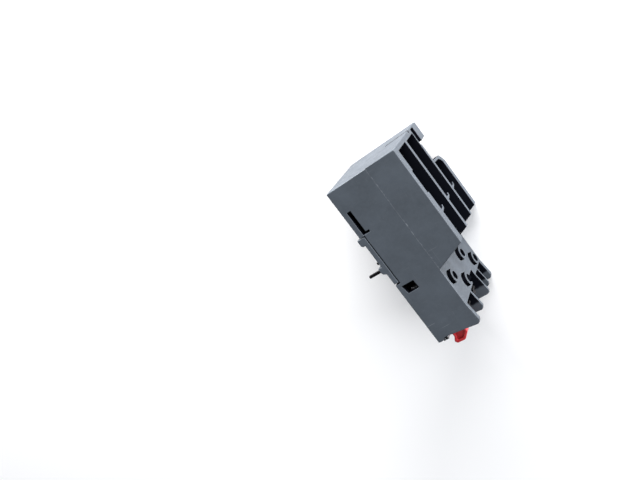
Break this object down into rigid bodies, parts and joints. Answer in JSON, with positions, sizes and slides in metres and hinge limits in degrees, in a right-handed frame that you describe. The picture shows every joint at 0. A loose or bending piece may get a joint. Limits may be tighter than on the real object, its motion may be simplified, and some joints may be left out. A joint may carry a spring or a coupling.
{
  "type": "plug-in thermal overload relay",
  "caption": "Three-pole thermal overload relay that plugs in under a contactor, with three cable bays, four control terminals, setting dial, reset and stop buttons.",
  "frame": {"origin": "middle of the bottom of the bounding box, on the flat left-hand side face that the relay lies on", "axes": "-Y is the operating front with dial and buttons, +Y the mounting back, -X the contactor side with the plug pins (up in service), +X the cable side (down in service), +Z the right-hand side seen from the front"},
  "size_m": [0.0486, 0.0888, 0.045],
  "materials": {
    "slate": "moulded thermoplastic, fine matt texture",
    "fascia": "moulded thermoplastic, matt",
    "clear": "clear polycarbonate",
    "black": "moulded insulation, satin",
    "cream": "natural acetal, satin",
    "red": "moulded red plastic, semi-gloss",
    "blue": "moulded blue plastic, semi-gloss",
    "steel": "zinc-plated steel",
    "brass": "plain brass strip",
    "copper": "drawn copper, lightly tarnished",
    "bimetal": "rolled bimetal",
    "silver": "silver-faced contact strip"
  },
  "bodies": {
    "housing": {"base_housing": "slate", "terminal_block": "slate", "front_fascia": "fascia", "spring_plate": "fascia", "lever_axle": "steel", "compensating_strip": "bimetal", "stop_spring": "steel", "reset_spring": "steel", "power_pin_1": "copper", "pin_sleeve_1": "black", "bimetal_strip_1": "bimetal", "heater_winding_1": "copper", "load_bar_1": "copper", "power_pin_2": "copper", "pin_sleeve_2": "black", "bimetal_strip_2": "bimetal", "heater_winding_2": "copper", "load_bar_2": "copper", "power_pin_3": "copper", "pin_sleeve_3": "black", "bimetal_strip_3": "bimetal", "heater_winding_3": "copper", "load_bar_3": "copper", "aux_terminal_1": "brass", "aux_terminal_2": "brass", "aux_terminal_3": "brass", "aux_terminal_4": "brass"},
    "stop_button": {"stop_button": "red"},
    "reset_button": {"reset_button": "blue"},
    "setting_dial": {"setting_dial": "cream", "dial_cam": "cream"},
    "test_pin": {"test_pin": "black"},
    "clear_cover": {"clear_cover": "clear"},
    "latch_arm_left": {"latch_arm_left": "slate"},
    "latch_arm_right": {"latch_arm_right": "slate"},
    "trip_slider": {"trip_slider": "cream"},
    "trip_lever": {"trip_lever": "black"},
    "contact_carrier": {"contact_carrier": "cream", "nc_bridge": "silver", "no_bridge": "silver"},
    "trip_flag": {"trip_flag": "cream"},
    "clamp_screw_1": {"clamp_screw_1": "steel"},
    "box_clamp_1": {"box_clamp_1": "steel"},
    "clamp_screw_2": {"clamp_screw_2": "steel"},
    "box_clamp_2": {"box_clamp_2": "steel"},
    "clamp_screw_3": {"clamp_screw_3": "steel"},
    "box_clamp_3": {"box_clamp_3": "steel"},
    "aux_washer_1": {"aux_washer_1": "steel"},
    "aux_screw_1": {"aux_screw_1": "steel"},
    "aux_washer_2": {"aux_washer_2": "steel"},
    "aux_screw_2": {"aux_screw_2": "steel"},
    "aux_washer_3": {"aux_washer_3": "steel"},
    "aux_screw_3": {"aux_screw_3": "steel"},
    "aux_washer_4": {"aux_washer_4": "steel"},
    "aux_screw_4": {"aux_screw_4": "steel"}
  },
  "joints": [
    {"name": "stop_button_press", "type": "slide", "parent": "housing", "child": "stop_button", "axis": [0, 1, 0], "range_m": [0, 0.003], "stiffness_N_per_m": 600, "springref_m": -0.001, "deforming": ["stop_spring"]},
    {"name": "reset_button_press", "type": "slide", "parent": "housing", "child": "reset_button", "axis": [0, 1, 0], "range_m": [0, 0.0025], "stiffness_N_per_m": 600, "springref_m": -0.001, "deforming": ["reset_spring"]},
    {"name": "test_pin_press", "type": "slide", "parent": "housing", "child": "test_pin", "axis": [0, 1, 0], "range_m": [0, 0.0012], "stiffness_N_per_m": 600, "springref_m": -0.0005},
    {"name": "setting_dial_turn", "type": "hinge", "parent": "housing", "child": "setting_dial", "pos_m": [-0.0045, -0.03655, 0.0096], "axis": [0, -1, 0], "range_deg": [0, 270]},
    {"name": "cover_hinge", "type": "hinge", "parent": "housing", "child": "clear_cover", "pos_m": [-0.0104, -0.03725, 0.0225], "axis": [0, 0, -1], "range_deg": [0, 110]},
    {"name": "latch_flex_left", "type": "hinge", "parent": "housing", "child": "latch_arm_left", "pos_m": [-0.011, 0.02015, 0.002], "axis": [0, 0, 1], "range_deg": [0, 0.8], "stiffness_Nm_per_rad": 4, "springref_deg": -0.57},
    {"name": "latch_flex_right", "type": "hinge", "parent": "housing", "child": "latch_arm_right", "pos_m": [-0.011, 0.02015, 0.043], "axis": [0, 0, 1], "range_deg": [0, 0.8], "stiffness_Nm_per_rad": 4, "springref_deg": -0.57},
    {"name": "trip_slide", "type": "slide", "parent": "housing", "child": "trip_slider", "axis": [0, 0, -1], "range_m": [0, 0.0015], "stiffness_N_per_m": 300, "springref_m": -0.0005},
    {"name": "trip_lever_turn", "type": "hinge", "parent": "housing", "child": "trip_lever", "pos_m": [-0.005, -0.01255, 0.0384], "axis": [-1, 0, 0], "range_deg": [0, 11.6]},
    {"name": "carrier_slide", "type": "slide", "parent": "housing", "child": "contact_carrier", "axis": [0, -1, 0], "range_m": [0, 0.002]},
    {"name": "flag_slide", "type": "slide", "parent": "housing", "child": "trip_flag", "axis": [0, -1, 0], "range_m": [0, 0.002]},
    {"name": "clamp_screw_turn_1", "type": "hinge", "parent": "housing", "child": "clamp_screw_1", "pos_m": [0.0145, -0.00355, 0.0081], "axis": [0, 1, 0], "range_deg": [0, 1030]},
    {"name": "clamp_slide_1", "type": "slide", "parent": "housing", "child": "box_clamp_1", "axis": [0, -1, 0], "range_m": [0, 0.002]},
    {"name": "clamp_screw_turn_2", "type": "hinge", "parent": "housing", "child": "clamp_screw_2", "pos_m": [0.0145, -0.00355, 0.02065], "axis": [0, 1, 0], "range_deg": [0, 1030]},
    {"name": "clamp_slide_2", "type": "slide", "parent": "housing", "child": "box_clamp_2", "axis": [0, -1, 0], "range_m": [0, 0.002]},
    {"name": "clamp_screw_turn_3", "type": "hinge", "parent": "housing", "child": "clamp_screw_3", "pos_m": [0.0145, -0.00355, 0.03455], "axis": [0, 1, 0], "range_deg": [0, 1030]},
    {"name": "clamp_slide_3", "type": "slide", "parent": "housing", "child": "box_clamp_3", "axis": [0, -1, 0], "range_m": [0, 0.002]},
    {"name": "aux_washer_slide_1", "type": "slide", "parent": "housing", "child": "aux_washer_1", "axis": [0, -1, 0], "range_m": [0, 0.001]},
    {"name": "aux_screw_turn_1", "type": "hinge", "parent": "aux_washer_1", "child": "aux_screw_1", "pos_m": [0.0057, -0.02955, 0.0057], "axis": [0, -1, 0], "range_deg": [0, 722]},
    {"name": "aux_washer_slide_2", "type": "slide", "parent": "housing", "child": "aux_washer_2", "axis": [0, -1, 0], "range_m": [0, 0.001]},
    {"name": "aux_screw_turn_2", "type": "hinge", "parent": "aux_washer_2", "child": "aux_screw_2", "pos_m": [0.0057, -0.02955, 0.0127], "axis": [0, -1, 0], "range_deg": [0, 722]},
    {"name": "aux_washer_slide_3", "type": "slide", "parent": "housing", "child": "aux_washer_3", "axis": [0, -1, 0], "range_m": [0, 0.001]},
    {"name": "aux_screw_turn_3", "type": "hinge", "parent": "aux_washer_3", "child": "aux_screw_3", "pos_m": [0.0057, -0.02955, 0.02375], "axis": [0, -1, 0], "range_deg": [0, 722]},
    {"name": "aux_washer_slide_4", "type": "slide", "parent": "housing", "child": "aux_washer_4", "axis": [0, -1, 0], "range_m": [0, 0.001]},
    {"name": "aux_screw_turn_4", "type": "hinge", "parent": "aux_washer_4", "child": "aux_screw_4", "pos_m": [0.0057, -0.02955, 0.03775], "axis": [0, -1, 0], "range_deg": [0, 722]}
  ],
  "couplings": [
    {"joint": "trip_lever_turn", "follows": "trip_slide", "rad_per_m": 131.6},
    {"joint": "carrier_slide", "follows": "trip_slide", "ratio": 1.31},
    {"joint": "flag_slide", "follows": "trip_slide", "ratio": 1.31},
    {"joint": "clamp_screw_turn_1", "follows": "clamp_slide_1", "rad_per_m": 8976},
    {"joint": "clamp_screw_turn_2", "follows": "clamp_slide_2", "rad_per_m": 8976},
    {"joint": "clamp_screw_turn_3", "follows": "clamp_slide_3", "rad_per_m": 8976},
    {"joint": "aux_screw_turn_1", "follows": "aux_washer_slide_1", "rad_per_m": 12566},
    {"joint": "aux_screw_turn_2", "follows": "aux_washer_slide_2", "rad_per_m": 12566},
    {"joint": "aux_screw_turn_3", "follows": "aux_washer_slide_3", "rad_per_m": 12566},
    {"joint": "aux_screw_turn_4", "follows": "aux_washer_slide_4", "rad_per_m": 12566}
  ]
}
